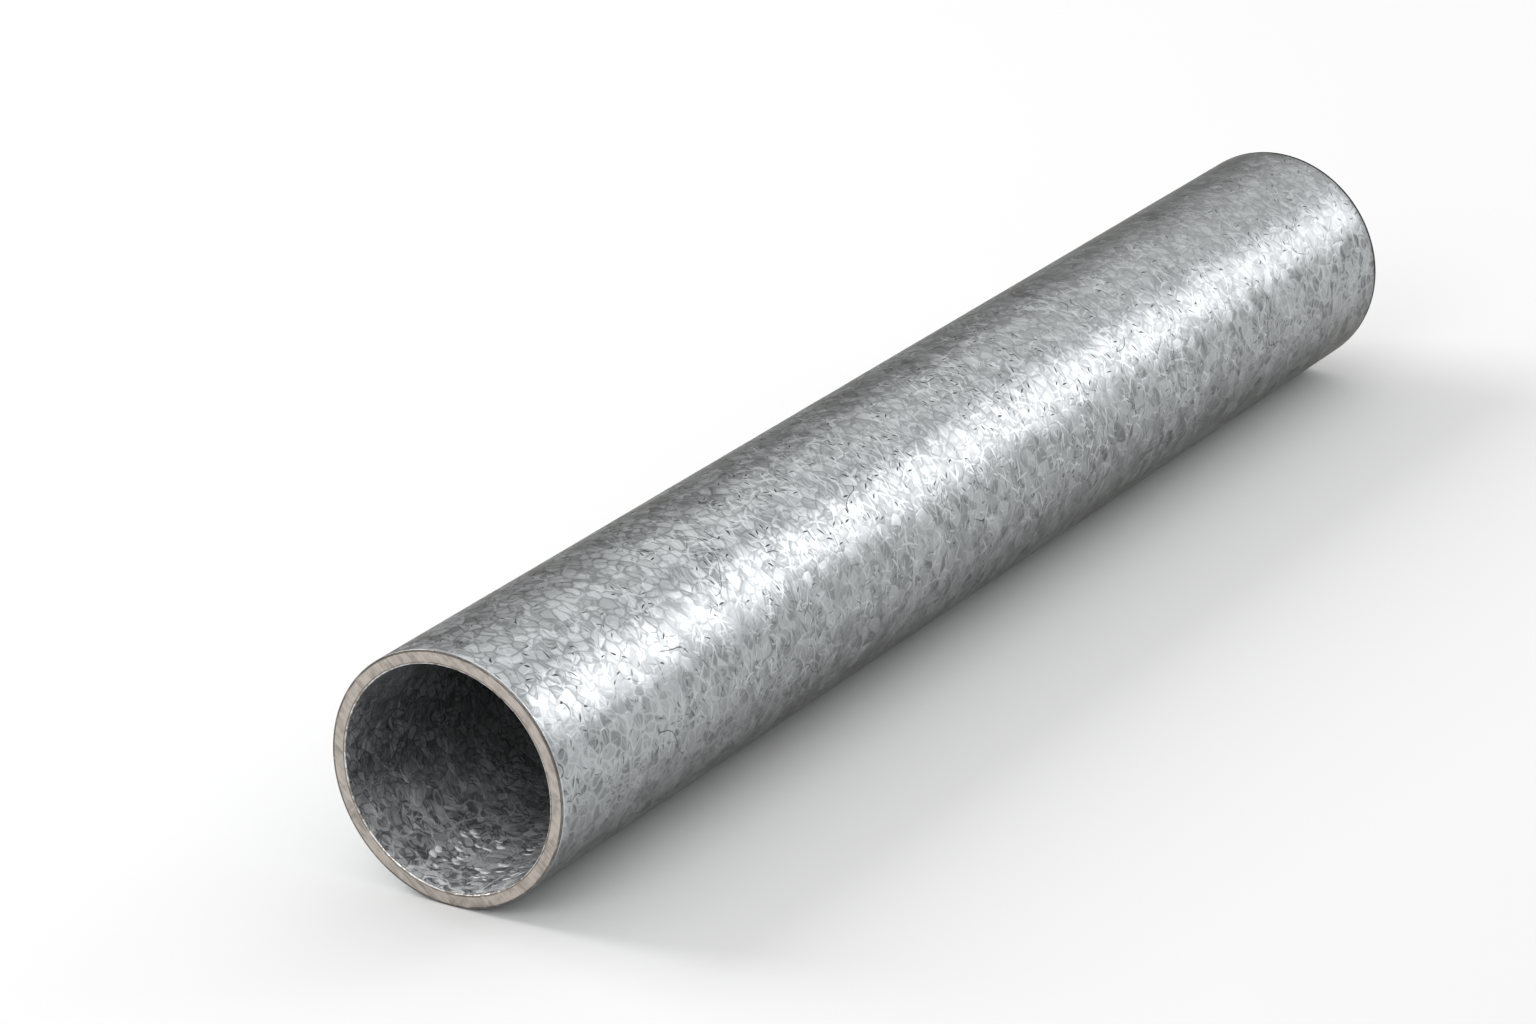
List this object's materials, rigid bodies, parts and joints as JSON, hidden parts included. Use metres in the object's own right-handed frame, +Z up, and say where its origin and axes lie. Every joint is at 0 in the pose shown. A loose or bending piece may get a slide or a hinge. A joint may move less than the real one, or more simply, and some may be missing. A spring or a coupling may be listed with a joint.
{
  "type": "galvanised steel pipe",
  "caption": "Straight round galvanised steel pipe, sawn square at both ends, with an open through bore; stock for posts, rails, frames and pipework.",
  "frame": {"origin": "on the floor under the middle of the pipe's length, directly below its axis", "axes": "+X along the pipe's axis, from the end shown open in the picture to the other end; +Z up"},
  "size_m": [0.6, 0.0888, 0.0889],
  "materials": {
    "galvanised_steel": "hot-dip galvanised, satin grey with a fine mottled spangle; bare warm-grey sawn steel on the end faces"
  },
  "bodies": {
    "root": {"pipe": "galvanised_steel"}
  },
  "joints": []
}
